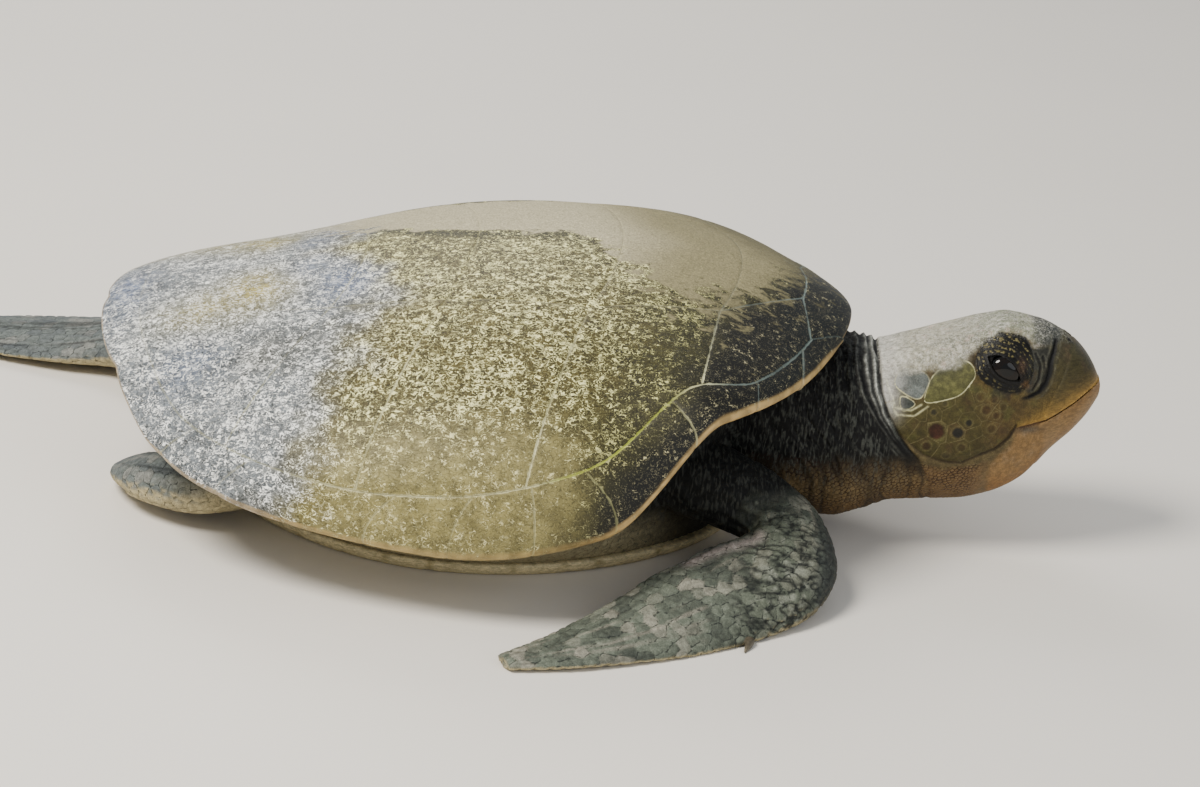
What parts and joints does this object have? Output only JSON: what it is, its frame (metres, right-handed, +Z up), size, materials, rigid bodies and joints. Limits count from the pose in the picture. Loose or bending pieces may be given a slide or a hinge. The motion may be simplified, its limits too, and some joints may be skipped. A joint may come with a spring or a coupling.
{
  "type": "sea turtle",
  "caption": "Still, life-size ridley sea turtle resting on its plastron: heart-shaped domed shell of horny plates, hooked beak, swept-back front flippers and small hind flippers.",
  "frame": {"origin": "middle of the plastron's flat underside, which lies on the floor", "axes": "+X along the body towards the head, +Y to the turtle's left, +Z up from the floor"},
  "size_m": [1.1062, 0.775, 0.2593],
  "materials": {
    "olive_scute": "dry keratin scutes, olive and grey-beige, matt, mottled with pale flecks",
    "greenish_margin_scute": "dry keratin scutes, smoother and greyer green, matt",
    "olive_grey_skin": "scaly and wrinkled reptile skin, olive grey, half matt",
    "yellow_horn": "horn of the beak, cream yellow to tan, satin",
    "cream_plastron": "cream-yellow plastron plates, half matt",
    "dark_eye": "wet dark eye, glossy",
    "dark_claw": "dark horn of the claw, satin"
  },
  "bodies": {
    "root": {"arm_left": "olive_grey_skin", "arm_right": "olive_grey_skin", "beak_lower": "yellow_horn", "beak_upper": "yellow_horn", "claw_left": "dark_claw", "claw_right": "dark_claw", "costal_scute_left_1": "olive_scute", "costal_scute_left_2": "olive_scute", "costal_scute_left_3": "olive_scute", "costal_scute_left_4": "olive_scute", "costal_scute_left_5": "olive_scute", "costal_scute_right_1": "olive_scute", "costal_scute_right_2": "olive_scute", "costal_scute_right_3": "olive_scute", "costal_scute_right_4": "olive_scute", "costal_scute_right_5": "olive_scute", "eye_left": "dark_eye", "eye_right": "dark_eye", "flipper_left": "olive_grey_skin", "flipper_right": "olive_grey_skin", "head": "olive_grey_skin", "hind_flipper_left": "olive_grey_skin", "hind_flipper_right": "olive_grey_skin", "lower_jaw": "olive_grey_skin", "marginal_scute_left_01": "greenish_margin_scute", "marginal_scute_left_02": "greenish_margin_scute", "marginal_scute_left_03": "greenish_margin_scute", "marginal_scute_left_04": "greenish_margin_scute", "marginal_scute_left_05": "greenish_margin_scute", "marginal_scute_left_06": "greenish_margin_scute", "marginal_scute_left_07": "greenish_margin_scute", "marginal_scute_left_08": "greenish_margin_scute", "marginal_scute_left_09": "greenish_margin_scute", "marginal_scute_left_10": "greenish_margin_scute", "marginal_scute_left_11": "greenish_margin_scute", "marginal_scute_left_12": "greenish_margin_scute", "marginal_scute_right_01": "greenish_margin_scute", "marginal_scute_right_02": "greenish_margin_scute", "marginal_scute_right_03": "greenish_margin_scute", "marginal_scute_right_04": "greenish_margin_scute", "marginal_scute_right_05": "greenish_margin_scute", "marginal_scute_right_06": "greenish_margin_scute", "marginal_scute_right_07": "greenish_margin_scute", "marginal_scute_right_08": "greenish_margin_scute", "marginal_scute_right_09": "greenish_margin_scute", "marginal_scute_right_10": "greenish_margin_scute", "marginal_scute_right_11": "greenish_margin_scute", "marginal_scute_right_12": "greenish_margin_scute", "neck": "olive_grey_skin", "nuchal_scute": "greenish_margin_scute", "plastron": "cream_plastron", "tail": "olive_grey_skin", "thigh_left": "olive_grey_skin", "thigh_right": "olive_grey_skin", "trunk": "olive_grey_skin", "vertebral_scute_1": "olive_scute", "vertebral_scute_2": "olive_scute", "vertebral_scute_3": "olive_scute", "vertebral_scute_4": "olive_scute", "vertebral_scute_5": "olive_scute"}
  },
  "joints": []
}
